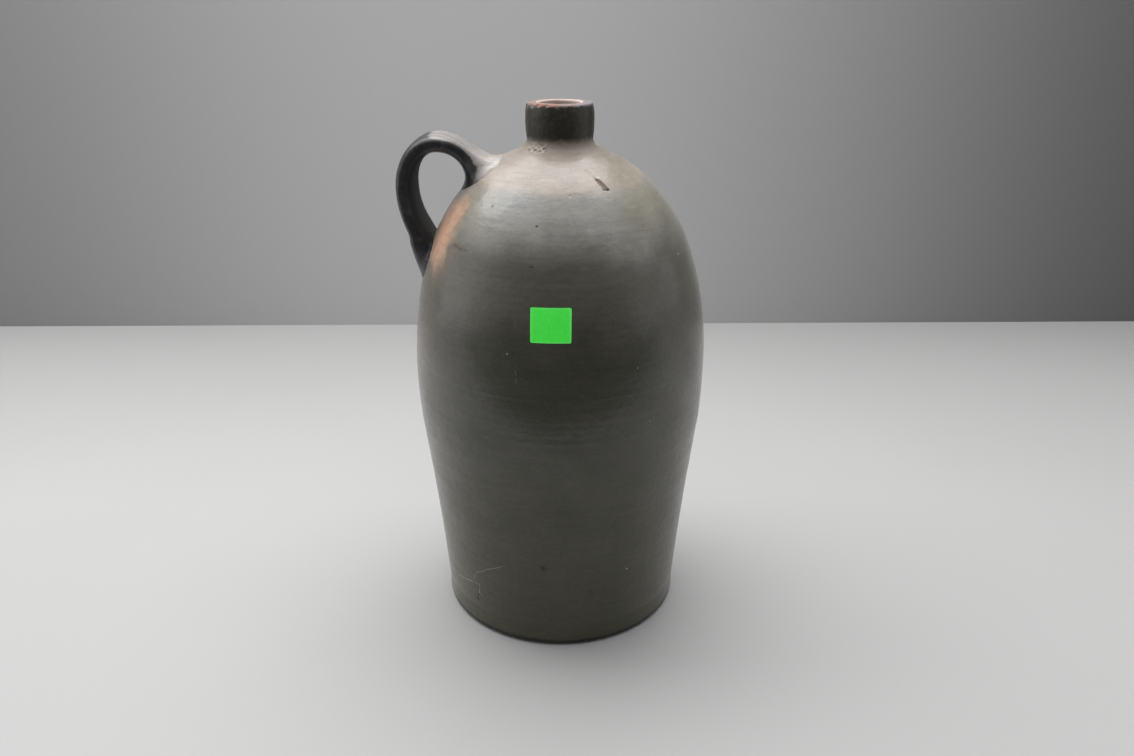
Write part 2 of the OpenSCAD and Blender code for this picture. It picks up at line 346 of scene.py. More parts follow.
class Tree:
    """Short ways to write a node tree. Values may be numbers or sockets."""

    def __init__(self, tree):
        self.tree = tree
        tree.nodes.clear()

    def node(self, kind, **props):
        n = self.tree.nodes.new("ShaderNode" + kind)
        for key, value in props.items():
            setattr(n, key, value)
        return n

    def put(self, socket, value):
        if isinstance(value, bpy.types.NodeSocket):
            self.tree.links.new(value, socket)
        elif isinstance(value, (tuple, list)) and socket.type == "RGBA":
            socket.default_value = (*value[:3], 1)
        else:
            socket.default_value = value

    def math(self, op, a, b=0.0, c=0.0, clamp=False):
        n = self.node("Math", operation=op, use_clamp=clamp)
        for k, v in enumerate((a, b, c)):
            self.put(n.inputs[k], v)
        return n.outputs[0]

    def chain(self, op, values):
        out = values[0]
        for x in values[1:]:
            out = self.math(op, out, x)
        return out

    def add(self, *v):
        return self.chain("ADD", v)

    def mul(self, *v):
        return self.chain("MULTIPLY", v)

    def high(self, *v):
        return self.chain("MAXIMUM", v)

    def low(self, *v):
        return self.chain("MINIMUM", v)

    def sub(self, a, b):
        return self.math("SUBTRACT", a, b)

    def sway(self, x, amount):
        """A noise about 0.5, as a push of up to half the amount either way."""
        return self.mul(self.sub(x, 0.5), amount)

    def step(self, x, low, high, a=0.0, b=1.0):
        """a below low, b above high, smooth between; low may be above high."""
        n = self.node("MapRange", interpolation_type="SMOOTHSTEP")
        if low > high:
            low, high, a, b = high, low, b, a
        for k, v in zip(("Value", "From Min", "From Max", "To Min", "To Max"), (x, low, high, a, b)):
            self.put(n.inputs[k], v)
        return n.outputs[0]

    def inside(self, *steps):
        """1 where all the steps, each (value, low, high), are past their high ends."""
        return self.mul(*[self.step(*s) for s in steps])

    def vec(self, op, a, b=(0, 0, 0), scale=None):
        n = self.node("VectorMath", operation=op)
        self.put(n.inputs[0], a)
        if op != "SCALE" and op != "LENGTH":
            self.put(n.inputs[1], b)
        if scale is not None:
            self.put(n.inputs["Scale"], scale)
        return n.outputs["Value" if op in ("LENGTH", "DOT_PRODUCT") else "Vector"]

    def split(self, vector):
        n = self.node("SeparateXYZ")
        self.put(n.inputs[0], vector)
        return n.outputs

    def mix(self, share, a, b, blend="MIX"):
        n = self.node("Mix", data_type="RGBA", blend_type=blend)
        self.put(n.inputs["Factor"], share)
        self.put(n.inputs[6], a)
        self.put(n.inputs[7], b)
        return n.outputs[2]

    def paint(self, colour, tone, *shares):
        """The colour with a tone laid over it, as far as the product of the shares."""
        return self.mix(self.mul(*shares), colour, tone)

    def times(self, colour, factor, *shares):
        """The colour multiplied by a factor, as far as the product of the shares."""
        return self.paint(colour, self.mix(1.0, colour, factor, "MULTIPLY"), *shares)

    def noise_node(self, p, size, detail, rough=0.5):
        n = self.node("TexNoise")
        for k, v in zip(("Vector", "Scale", "Detail", "Roughness"), (p, 1/size, detail, rough)):
            self.put(n.inputs[k], v)
        return n

    def noise(self, p, size, detail, rough=0.5, stretch=None):
        """Noise about 0.5 with features about `size` mm wide; p is in mm."""
        if stretch:
            p = self.vec("MULTIPLY", p, stretch)
        return self.noise_node(p, size, detail, rough).outputs["Fac"]

    def shaken(self, p, size, amount):
        """Places pushed about by a noise, so that edges measured on them are not straight."""
        push = self.vec("SUBTRACT", self.noise_node(p, size, 2).outputs["Color"], (0.5, 0.5, 0.5))
        return self.vec("ADD", p, self.vec("SCALE", push, scale=amount))

    def spots(self, p, size, radius, share):
        """Round spots of about that radius in a share of cells of that size."""
        n = self.node("TexVoronoi")
        self.put(n.inputs["Vector"], p)
        self.put(n.inputs["Scale"], 1/size)
        part = self.node("SeparateColor")
        self.put(part.inputs[0], n.outputs["Color"])
        pick = self.step(part.outputs[0], 1 - share - 0.02, 1 - share + 0.02)
        wide = self.math("MULTIPLY_ADD", part.outputs[1], radius/size, 0.35*radius/size)
        d = self.math("DIVIDE", n.outputs["Distance"], wide)
        return self.mul(pick, self.step(d, 1.3, 0.7))

    def segment(self, p, a, b):
        """Distance in mm from the line between two points, each in mm."""
        ba = tuple(y - x for x, y in zip(a, b))
        pa = self.vec("SUBTRACT", p, a)
        h = self.math("MULTIPLY", self.vec("DOT_PRODUCT", pa, ba), 1/sum(x*x for x in ba), clamp=True)
        return self.vec("LENGTH", self.vec("SUBTRACT", pa, self.vec("SCALE", ba, scale=h)))

    def blob(self, p, centre, size, soft=0.5):
        """1 near a point and 0 away from it; size is the radius or the three radii in mm."""
        size = (size,)*3 if isinstance(size, (int, float)) else size
        q = self.vec("DIVIDE", self.vec("SUBTRACT", p, centre), size)
        return self.step(self.vec("LENGTH", q), 1 + soft, 1 - soft)


def material(name):
    m = bpy.data.materials.new(name)
    m.use_nodes = True
    t = Tree(m.node_tree)
    out = t.node("OutputMaterial")
    return m, t, out


def place(t):
    """Place on the object in mm."""
    return t.vec("SCALE", t.node("TexCoord").outputs["Object"], scale=1/MM)


def position(t):
    """Place on the object in mm, and its x, y, z, azimuth in degrees and radius."""
    p = place(t)
    x, y, z = t.split(p)
    az = t.mul(t.math("ARCTAN2", x, t.mul(y, -1.0)), 180/math.pi)
    r = t.math("SQRT", t.add(t.mul(x, x), t.mul(y, y)))
    return p, x, y, z, az, r


def surface(t, out, sockets, relief, strength, depth=0.0003, coat_follows=False):
    """Wires a Principled shader with a bump that is `depth` metres high where relief is 1."""
    bsdf = t.node("BsdfPrincipled")
    for name, value in sockets.items():
        t.put(bsdf.inputs[name], value)
    bump = t.node("Bump")
    for name, value in (("Strength", strength), ("Distance", depth), ("Height", relief)):
        t.put(bump.inputs[name], value)
    t.put(bsdf.inputs["Normal"], bump.outputs[0])
    if coat_follows:
        t.put(bsdf.inputs["Coat Normal"], bump.outputs[0])
    t.put(out.inputs["Surface"], bsdf.outputs[0])


# Marks that are painted on the clay

SCRATCHES = [  # points, width, gaps: on the front left of the belly
    ([(-22.6, -78.3, 209.5), (-22.7, -79.8, 202.3), (-21.7, -81.1, 197.1)], 0.20, 0.26),
    ([(-23.0, -82.3, 186.7), (-22.6, -83.2, 174.3)], 0.18, 0.26),
    ([(-21.6, -81.1, 197.0), (-22.6, -82.3, 187.0)], 0.16, 0.34),
]
HAIRLINES = [  # points, width, gaps: above the foot, on the left
    ([(-72.0, -20.6, 24.1), (-66.0, -36.5, 27.0), (-62.3, -42.6, 28.6), (-54.2, -52.9, 31.6),
      (-49.5, -57.5, 33.0)], 0.30, 0.24),
    ([(-54.2, -52.9, 31.6), (-51.4, -56.7, 40.8), (-43.8, -63.4, 47.3), (-32.4, -70.7, 55.3)], 0.20, 0.32),
    ([(-49.5, -57.5, 33.0), (-49.4, -56.6, 23.8), (-50.7, -55.1, 20.8)], 0.30, 0.22),
]
SHOULDER_TICK = [(-56.3, -43.2, 240.3), (-53.6, -46.9, 239.2), (-48.9, -52.0, 239.1)], 0.45, 0.25
TORN_EDGE = [(18.6, -38.0, 274.4), (20.6, -40.0, 272.4), (22.6, -41.9, 270.5),
             (25.7, -42.5, 268.8)], 0.34, 0.2
CRACK_LINE = [(14.0, -33.6, 278.5), (16.4, -36.0, 276.5), (19.6, -38.4, 273.9)], 0.22
WHITE_SPECKS = [((-27.1, -80.2, 191.9), 0.42), ((39.6, -66.3, 50.0), 0.6), ((41.5, -75.1, 181.9), 0.35),
                ((49.5, -71.3, 149.1), 0.4), ((-49.0, -57.2, 25.0), 0.6)]
DARK_SPECKS = [((-9.5, -77.4, 58.1), 1.3), ((-50.7, -55.1, 20.8), 1.1), ((-11.4, -61.4, 254.4), 0.75),
               ((18.7, -73.9, 37.6), 0.8)]


def tone_by_height(t, z, cloud, broad):
    """Olive brown below, greyer and paler on the shoulder, tan above a level edge on the crown. The paleness
    upward is partly the glaze's own tone and partly painted light from above.
    """
    h = t.add(z, t.sway(cloud, 26), t.sway(broad, 30))
    level = t.add(z, t.sway(cloud, 4), t.sway(broad, 6))
    colour = t.mix(cloud, (0.037, 0.037, 0.018), (0.053, 0.051, 0.027))
    # paler bands upward: partly the glaze's tone, partly painted light from the overhead softbox; the last
    # band's level edge is where the painted highlight on the crown ends
    for height, start, end, darker, paler in (
            (h, 60, 190, (0.039, 0.039, 0.026), (0.055, 0.054, 0.038)),
            (h, 180, 226, (0.072, 0.069, 0.053), (0.097, 0.093, 0.073)),
            (h, 229, 268, (0.226, 0.218, 0.196), (0.286, 0.274, 0.248)),
            (level, 266.6, 270.6, (0.330, 0.275, 0.233), (0.385, 0.330, 0.284))):
        colour = t.mix(t.step(height, start, end), colour, t.mix(cloud, darker, paler))
    # painted shade: the crown is darkened towards the neck's foot
    return t.mix(t.step(z, 274, 281, 0.0, 0.5), colour, (0.245, 0.200, 0.166))


def tinted(t, colour, p, z, az, fine, rub):
    """Tints of the upper wall: olive, a painted bluish highlight patch, orange flashing beside the handle, a
    pink left flank.
    """
    streak = t.noise(p, 7, 3, 0.6, stretch=(1, 1, 0.22))
    patchy = t.noise(p, 15, 4, 0.6)
    lean = t.add(az, t.sway(streak, 14), t.sway(patchy, 20))
    tall = t.add(z, t.sway(patchy, 26), t.sway(fine, 6))
    olive = t.inside((az, 22, 50), (az, 110, 80), (z, 238, 262), (rub, 0.25, 0.6))
    left = t.inside((lean, -30, -42), (lean, -70, -58), (z, 238, 256), (z, 276, 264))
    # painted highlight: a bluish patch where the coat's glint shows on the shoulder
    cool_glint = t.mul(t.blob(p, (-21, -48, 260), (13, 10, 9), 0.7), t.step(fine, 0.3, 0.6, 0.4, 1.0))
    flash = t.inside((lean, -55, -64), (lean, -98, -78), (tall, 220, 236), (tall, 266, 250))
    warm = t.inside((lean, -46, -62), (lean, -112, -82), (tall, 210, 236), (tall, 274, 250))
    flank = t.inside((lean, -46, -68), (lean, -112, -84), (tall, 150, 184), (tall, 226, 206))
    for mask, share, tone in ((olive, 0.6, (0.200, 0.180, 0.110)), (left, 0.35, (0.250, 0.232, 0.160)),
                              (cool_glint, 0.55, (0.255, 0.270, 0.275)),
                              (flash, t.step(streak, 0.25, 0.6, 0.35, 0.95), (0.90, 0.50, 0.32)),
                              (warm, 0.42, (0.44, 0.31, 0.22)), (flank, 0.35, (0.175, 0.135, 0.115))):
        colour = t.paint(colour, tone, mask, share)
    return colour


def thrown(t, colour, p, z, lines, grain):
    """Fine throwing lines, salt-glaze mottling, iron spots and pale grit."""
    bands = t.noise(p, 6.0, 2, 0.5, stretch=(0.08, 0.08, 1))
    mottle = t.noise(p, 2.4, 3, 0.6, stretch=(0.35, 0.35, 1))
    colour = t.times(colour, (0.74, 0.74, 0.73), t.step(lines, 0.54, 0.36, 0.0, 0.34))
    colour = t.times(colour, (1.28, 1.25, 1.22), t.step(bands, 0.50, 0.68, 0.0, 0.28),
                     t.step(z, 200, 240, 1.0, 0.45))
    colour = t.times(colour, (1.6, 1.54, 1.48), t.step(mottle, 0.38, 0.68, 0.0, 0.24))
    colour = t.times(colour, (0.55, 0.54, 0.52), t.step(grain, 0.56, 0.36), t.step(z, 150, 235, 0.50, 0.20))
    iron = t.high(t.spots(p, 11, 0.75, 0.30), t.spots(p, 5, 0.30, 0.22))
    colour = t.paint(colour, (0.022, 0.014, 0.009), iron, 0.75)
    grit = t.spots(t.vec("ADD", p, (31, 7, 13)), 14, 0.50, 0.20)
    return t.paint(colour, (0.42, 0.39, 0.34), grit, 0.7)


def stroke(t, p, shaken, points, width, gap=0.0):
    """A line drawn along the points, on shaken places; with a gap value it breaks off here and there."""
    d = t.low(*[t.segment(shaken, a, b) for a, b in zip(points[:-1], points[1:])])
    mask = t.step(d, width*1.6, width*0.4)
    return t.mul(mask, t.step(t.noise(p, 2.3, 2), gap, gap + 0.18)) if gap else mask


def marked(t, colour, p, shaken, fine):
    """Scratches, hairlines, specks and stains, and a mask of the first two."""
    scratch = t.high(*[stroke(t, p, shaken, *s) for s in SCRATCHES])
    colour = t.paint(colour, (0.30, 0.29, 0.26), scratch, 0.32)
    hair = t.high(*[stroke(t, p, shaken, *s) for s in HAIRLINES])
    colour = t.paint(colour, (0.38, 0.36, 0.31), hair, 0.58)
    white = t.high(*[t.blob(p, at, size) for at, size in WHITE_SPECKS])
    colour = t.paint(colour, (0.56, 0.53, 0.46), white, 0.75)
    dark = t.high(*[t.blob(p, at, size) for at, size in DARK_SPECKS])
    colour = t.paint(colour, (0.012, 0.009, 0.007), dark, 0.8)
    rust = t.mul(t.blob(shaken, (21.5, -73.2, 39.6), (10, 6, 3.6), 0.7), t.step(fine, 0.3, 0.6))
    colour = t.paint(colour, (0.040, 0.022, 0.013), rust, 0.4)
    stain = t.mul(t.blob(shaken, (-54.6, -45.4, 239.7), (4.6, 4.6, 1.9), 0.4), t.step(fine, 0.30, 0.50))
    colour = t.paint(colour, (0.085, 0.056, 0.034), stain, 0.65)
    colour = t.paint(colour, (0.030, 0.014, 0.009), stroke(t, p, shaken, *SHOULDER_TICK), 0.9)
    return colour, t.high(hair, scratch)


def scarred(t, colour, p, shaken, grain):
    """The scar beside the neck: torn clay, dark edge, pale lip and crack; and a mask of the torn clay. The
    lip's pale colour is partly pale clay and partly a painted highlight on its raised edge.
    """
    torn = t.step(t.segment(p, (19.6, -38.2, 273.8), (25.0, -41.6, 269.3)), 1.4, 0.5)
    colour = t.paint(colour, (0.250, 0.190, 0.142), torn, t.step(grain, 0.3, 0.6, 0.35, 0.85))
    colour = t.paint(colour, (0.034, 0.019, 0.012), stroke(t, p, shaken, *TORN_EDGE), 0.85)
    # the pale lip: partly pale clay, partly painted highlight on the raised edge
    lip = t.mul(t.step(t.segment(p, (20.4, -36.3, 274.6), (26.4, -40.2, 269.9)), 1.2, 0.3),
                t.step(grain, 0.3, 0.55))
    colour = t.paint(colour, (0.56, 0.49, 0.42), lip, 0.85)
    slit = t.step(t.segment(p, (23.4, -42.4, 269.6), (25.9, -41.4, 269.2)), 0.9, 0.3)
    colour = t.paint(colour, (0.020, 0.011, 0.007), t.high(stroke(t, p, shaken, *CRACK_LINE), slit), 0.85)
    return colour, torn


def clay_material():
    """Salt-glazed stoneware: the whole of the body shares it, so the tones run on across the joint."""
    m, t, out = material("body_glaze")
    p, _, _, z, az, r = position(t)
    shaken = t.shaken(p, 6, 1.8)
    broad = t.noise(p, 70, 2)
    cloud = t.noise(p, 22, 3)
    fine = t.noise(p, 3.2, 3, 0.6)
    grain = t.noise(p, 1.1, 2, 0.6)
    rub = t.noise(p, 9, 3, 0.6, stretch=(1, 1, 0.35))
    lines = t.noise(p, 1.5, 3, 0.65, stretch=(0.05, 0.05, 1))
    colour = tone_by_height(t, z, cloud, broad)
    colour = tinted(t, colour, p, z, az, fine, rub)
    colour = thrown(t, colour, p, z, lines, grain)
    colour, scratched = marked(t, colour, p, shaken, fine)
    colour, torn = scarred(t, colour, p, shaken, grain)

    # dark glaze running off the neck, a painted contact shadow as a dark line where the foot meets the
    # table, bare clay under it
    ring = t.add(r, t.sway(rub, 3.2))
    colour = t.paint(colour, (0.160, 0.134, 0.102), t.step(ring, 27.5, 22.5), t.step(z, 270, 280), 0.10)
    # painted shadow: the band just above the table is painted almost black
    contact_shadow = t.step(t.add(z, t.sway(cloud, 2.0)), 5.0, 3.0)
    colour = t.paint(colour, (0.004, 0.004, 0.003), contact_shadow, 0.96)
    bare = t.step(t.add(z, t.sway(cloud, 0.3)), 0.35, 0.05)
    colour = t.mix(bare, colour, (0.24, 0.175, 0.120))

    coat = t.mul(t.step(cloud, 0.25, 0.75, 0.35, 0.65), t.step(z, 60, 170, 0.45, 1.0),
                 t.step(z, 266, 272, 1.0, 0.5), t.step(z, 3, 7), t.step(torn, 1, 0))
    peel = t.add(t.mul(t.noise(p, 1.9, 2, 0.55), 0.6), t.mul(t.noise(p, 0.8, 2, 0.5), 0.25),
                 t.mul(lines, 0.38))
    surface(t, out, {
        "Base Color": colour,
        "Roughness": t.add(0.40, t.sway(fine, 0.25), t.mul(contact_shadow, 0.35), t.mul(torn, 0.35)),
        "Coat Weight": coat, "Coat Roughness": 0.17, "IOR": 1.5,
        "Sheen Weight": 0.22, "Sheen Roughness": 0.4, "Sheen Tint": (1.0, 0.95, 0.88),
    }, t.sub(peel, t.mul(scratched, 0.5)), 0.32, coat_follows=True)
    return m


def neck_material():
    """Dark olive glaze, tan at its foot, worn to pinkish clay at the rim and round the mouth. The neck's
    darkness is partly its glaze and partly painted shade, and the mouth is painted paler as painted light.
    """
    m, t, out = material("neck_glaze")
    p, x, _, z, az, r = position(t)
    cloud = t.noise(p, 9, 3)
    fine = t.noise(p, 2.0, 3, 0.6)
    grain = t.noise(p, 0.7, 2, 0.6)
    # the dark glaze is partly its own colour, partly painted shade on the upright neck
    colour = t.mix(cloud, (0.013, 0.012, 0.007), (0.038, 0.034, 0.021))
    colour = t.mix(t.step(fine, 0.5, 0.72, 0, 0.5), colour, (0.085, 0.074, 0.050))
    foot = t.step(t.add(z, t.sway(fine, 3.4), t.sway(cloud, 2.0)), 292.8, 288.2)
    colour = t.mix(foot, colour, t.mix(cloud, (0.240, 0.202, 0.162), (0.300, 0.255, 0.210)))

    worn = t.step(t.add(z, t.sway(fine, 3.0), t.sway(cloud, 2.0)), 308.4, 309.2)
    left = t.inside((az, -62, -90), (az, -150, -108), (t.add(fine, t.mul(cloud, 0.5)), 0.66, 0.86),
                    (z, 288, 292))
    mouth = t.inside((r, 13.4, 12.6), (z, 300, 304))
    bare = t.high(worn, t.mul(left, 0.7), mouth)
    clay = t.mix(cloud, (0.23, 0.155, 0.130), (0.33, 0.255, 0.225))
    clay = t.mix(t.step(x, 4, 19), clay, (0.235, 0.225, 0.250))
    clay = t.paint(clay, (0.36, 0.13, 0.10), t.blob(p, (-8.0, -15.0, 310), (8, 5, 3), 0.5), 0.7)
    clay = t.mix(t.step(grain, 0.6, 0.4, 0, 0.5), clay, (0.10, 0.075, 0.062))
    colour = t.mix(bare, colour, clay)
    # the pale mouth: bare pinkish clay, painted paler as painted light on the bore's far inner wall
    colour = t.mix(mouth, colour, t.mix(cloud, (0.52, 0.40, 0.35), (0.62, 0.50, 0.46)))

    # dark and pale bits among the crumbs, pale chips on the rim, and the dark inside of the bore
    crumb = t.inside((az, -16, -24), (az, -62, -54), (z, 290.5, 289))
    colour = t.paint(colour, (0.110, 0.092, 0.072), crumb, t.step(fine, 0.44, 0.34), 0.8)
    colour = t.paint(colour, (0.42, 0.375, 0.315), crumb, t.step(fine, 0.50, 0.58), 0.8)
    chip = t.inside((t.spots(p, 4.2, 1.2, 0.35), 0.2, 0.8), (z, 306.5, 308.5), (az, -10, -40), (r, 16, 17.5))
    colour = t.paint(colour, (0.56, 0.47, 0.38), chip, 0.8)
    colour = t.mix(t.inside((r, 13.6, 12.4), (z, 304.0, 297.0)), colour, (0.040, 0.028, 0.020))

    surface(t, out, {
        "Base Color": colour,
        "Roughness": t.add(0.50, t.sway(fine, 0.3), t.mul(bare, 0.25)),
        "Coat Weight": t.mul(t.step(bare, 0.9, 0.0, 0.0, 0.18), t.step(z, 287, 293)), "Coat Roughness": 0.14,
    }, t.add(t.mul(fine, 0.7), t.mul(grain, 0.3)), 0.45)
    return m


def handle_material():
    """Near-black glaze, olive on the outside, painted pale along the top of the arch as painted light from
    above, and rubbed pale at the root.
    """
    m, t, out = material("handle_glaze")
    p, x, _, z, _, _ = position(t)
    cloud = t.noise(p, 16, 3)
    fine = t.noise(p, 2.4, 3, 0.6)
    grain = t.noise(p, 0.8, 2, 0.6)
    pull = t.noise(p, 3.5, 3, 0.55, stretch=(0.25, 1, 0.25))
    drawn = t.noise(p, 2.6, 3, 0.6, stretch=(0.10, 1, 0.10))
    nx, _, nz = t.split(t.node("TexCoord").outputs["Normal"])

    colour = t.mix(cloud, (0.010, 0.010, 0.012), (0.024, 0.023, 0.027))
    colour = t.mix(t.step(fine, 0.48, 0.70, 0, 0.45), colour, (0.052, 0.051, 0.056))
    olive = t.inside((t.noise(p, 5, 4, 0.65), 0.50, 0.64), (nx, 0.2, -0.4))
    colour = t.paint(colour, t.mix(drawn, (0.040, 0.036, 0.024), (0.095, 0.085, 0.062)), olive, 0.7)
    colour = t.mix(t.step(drawn, 0.56, 0.70, 0, 0.5), colour, (0.080, 0.076, 0.074))
    inner = t.inside((nx, 0.25, 0.7), (z, 222, 236))
    colour = t.paint(colour, t.mix(cloud, (0.012, 0.013, 0.010), (0.022, 0.023, 0.017)), inner, 0.7)

    # painted light: the top of the strap is painted pale where the overhead light falls on it, wider beside
    # the root, gone towards the outer bend
    pale = t.mix(cloud, (0.30, 0.275, 0.262), (0.43, 0.40, 0.385))
    pale = t.mix(t.step(grain, 0.6, 0.4, 0, 0.4), pale, (0.17, 0.155, 0.15))
    pale = t.mix(t.step(drawn, 0.56, 0.40, 0, 0.55), pale, (0.150, 0.138, 0.132))
    near_root = t.sub(t.math("MULTIPLY_ADD", x, 0.014, 1.07, clamp=True), t.step(x, -65, -80, 0.0, 0.30))
    top = t.inside((t.add(nz, t.sway(fine, 0.3), t.mul(near_root, 1.2)), 0.80, 0.98), (z, 266, 276))
    colour = t.paint(colour, pale, top, 0.9)

    # browner where it runs out onto the shoulder, a pale smear at its root, bluish at the tail
    root = t.inside((x, -50, -40), (z, 263, 270), (nz, 0.15, 0.55))
    colour = t.paint(colour, t.mix(cloud, (0.27, 0.24, 0.215), (0.37, 0.335, 0.31)),
                     root, t.step(fine, 0.34, 0.54, 0.35, 1.0))
    smear = t.mul(t.blob(p, (-38, -13, 277), (7, 10, 6), 0.6), t.step(pull, 0.44, 0.58))
    colour = t.paint(colour, (0.52, 0.49, 0.47), smear, 0.8)
    tail = t.step(t.add(z, t.sway(cloud, 12)), 232, 216)
    colour = t.paint(colour, (0.060, 0.058, 0.070), tail, 0.75)
    colour = t.paint(colour, (0.20, 0.18, 0.16), t.spots(p, 6, 0.5, 0.25), 0.6)
    # glaze drips, tinted paler partly as a painted highlight on their glossy bumps
    drip = t.high(*[t.blob(p, at, size, 0.4) for at, size in DRIPS])
    colour = t.paint(colour, (0.085, 0.085, 0.095), drip, 0.5)

    # the outer bend is less glossy on top, and its upward faces are painted darker as painted shade
    bend = t.inside((x, -66, -76), (nz, 0.1, 0.5))
    coat = t.mul(t.step(cloud, 0.2, 0.8, 0.15, 0.5), t.step(root, 1, 0, 0.4, 1), t.step(inner, 1, 0),
                 t.step(bend, 1, 0))
    colour = t.paint(colour, (0.014, 0.014, 0.016), t.step(x, -68, -78), t.step(nz, 0.2, 0.6), 0.55)

    surface(t, out, {
        "Base Color": colour,
        "Roughness": t.add(0.44, t.sway(fine, 0.3), t.mul(top, 0.12), t.mul(inner, 0.35)),
        "Coat Weight": t.high(coat, drip), "Coat Roughness": 0.20,
    }, t.add(t.mul(pull, 0.35), t.mul(drawn, 0.6), t.mul(fine, 0.4), t.mul(grain, 0.2)), 0.35,
        coat_follows=True)
    return m


def label_material():
    """Green fluorescent paper, paler at its edges. It glows with a little light of its own, a painted glow
    though it is no lamp.
    """
    m, t, out = material("label_paper")
    p, _, _, z, az, _ = position(t)
    fibre = t.noise(p, 0.8, 3, 0.6, stretch=(1, 1, 0.6))
    cloud = t.noise(p, 7, 2)
    colour = t.mix(cloud, (0.055, 0.74, 0.060), (0.085, 0.84, 0.085))
    across = t.math("ABSOLUTE", t.add(az, label_turn))
    upward = t.math("ABSOLUTE", t.sub(z, label_up))
    edge = t.high(t.step(across, 6.3, 7.15), t.step(upward, 7.6, 8.8))
    colour = t.paint(colour, (0.25, 0.90, 0.30), edge, t.step(fibre, 0.3, 0.6, 0.2, 0.5))
    colour = t.mix(t.step(fibre, 0.6, 0.42, 0, 0.18), colour, (0.03, 0.50, 0.06))
    surface(t, out, {
        "Base Color": colour, "Roughness": 0.55,
        # painted light: the paper's glow
        "Emission Color": (0.05, 1.0, 0.06), "Emission Strength": 0.20,
    }, fibre, 0.25, depth=0.0001)
    return m


glaze = clay_material()
collar_glaze = neck_material()
strap_glaze = handle_material()
paper = label_material()

# Lower and upper section

SIDES = 640
split = 0.06      # depth of the seam where the two sections meet
lap_h, lap_t = 6, 4.1      # height and depth of the lap that keys the sections together
lap_in = joint_r - 8      # radius of the lap's inside
cove_r, cove_top = 14, 24
hub_r = 4      # radius of the innermost ring of the floor
skirt = 0.15      # how far the upper skin runs on below the joint
gap = 0.1      # clearance in the lap

outer = resample(np.concatenate([
    arc(foot_r - foot_edge_r, foot_edge_r, foot_edge_r, -90, 0, 24),
    [[foot_r, foot_h - 3], [foot_r + 0.10, foot_h - 0.8], [foot_r + 0.42, foot_h + 1.2]],
    lower_line[lower_line[:, 1] > foot_h + 3.4],
]), lambda z: 0.45 if z < 18 else 0.9)
close_rows = [[body_r(joint_h - below), joint_h - below] for below in (0.30, 0.08)]
outer = np.concatenate([outer[:-1], close_rows, outer[-1:]])
lap = [[joint_r - split, joint_h + 0.15], [joint_r - 0.9, joint_h + 0.8], [joint_r - lap_t, joint_h + 1],
       [joint_r - lap_t - gap, joint_h + lap_h - 0.2], [lap_in, joint_h + lap_h]]
wall_in = resample(lower_line[::-1], 6)
wall_in = wall_in[wall_in[:, 1] > cove_top + 2]
inside_low = np.stack([wall_in[:, 0] - wall_t_at(wall_in[:, 1]), wall_in[:, 1]], -1)
cove = arc(body_r(cove_top) - wall_t_at(cove_top) - cove_r, cove_top, cove_r, 0, -90, 9)
under = np.stack([np.linspace(hub_r, foot_r - foot_edge_r - 0.4, 26), np.zeros(26)], -1)
whole = np.concatenate([under, outer, lap, inside_low, cove, [[30, floor_t], [hub_r, floor_t]]])


def lower_shape(p, n):
    """The wall's shape on the outside only: not on the floor, the underside, the lap or the inside."""
    r, z = np.hypot(p[..., 0], p[..., 1]), p[..., 2]
    outside = (r > 70.6)*(z < joint_h + 0.4)*(z > 0.05)*(np.abs(r - body_r(z)) < 4)
    return body_shape(p, n)*outside


points, faces = turned(whole, SIDES, lower_shape)
points = capped(points, faces, 0, SIDES, turn_over=True)
points = capped(points, faces, (len(whole) - 1)*SIDES, SIDES)
make("lower_section", points, faces, glaze, ["lower_body"])

top_line = np.concatenate([
    [[joint_r - lap_t + gap, joint_h + lap_h + gap], [joint_r - lap_t + gap, joint_h + 1 + gap],
     [joint_r - 0.9, joint_h - 0.7], [joint_r - split, joint_h - 0.1]],
    [[body_r(joint_h + above), joint_h + above] for above in (0.05, 0.25)],
    resample(np.concatenate([belly_line[2:], crown_line[1:]]), lambda z: 0.85 if z < 225 else 0.52),
])
seat = [[22.2, seat_h - 0.35], [spigot_r + 0.1, seat_h - 0.35], [spigot_r + 0.1, seat_h - crown_wall_t]]
wall_in = resample(np.concatenate([belly_line, crown_line[1:]])[::-1], 7)
wall_in = wall_in[(wall_in[:, 1] < seat_h - 3) & (wall_in[:, 1] > joint_h + 7)]
inside_up = wall_in + line_normals(wall_in)*wall_t_at(wall_in[:, 1])[:, None]
whole = np.concatenate([top_line, seat, [[22, seat_h - crown_wall_t]], inside_up, [[lap_in, joint_h + 6.2]]])
LAP_ROWS = 4


def upper_shape(p, n):
    """The wall's shape on the outside only: not on the lap, the seat or the inside."""
    out = body_shape(p, n)
    out[:LAP_ROWS] = 0
    out[len(top_line):] = 0
    return out


points, faces = turned(whole, SIDES, upper_shape, closed=True)
rings = points.reshape(-1, SIDES, 3)
rings[LAP_ROWS - 1] = rings[LAP_ROWS] - [0, 0, skirt]      # the skin runs on over the joint, without a gap
make("upper_section", points, faces, glaze, ["upper_body"])

# Neck

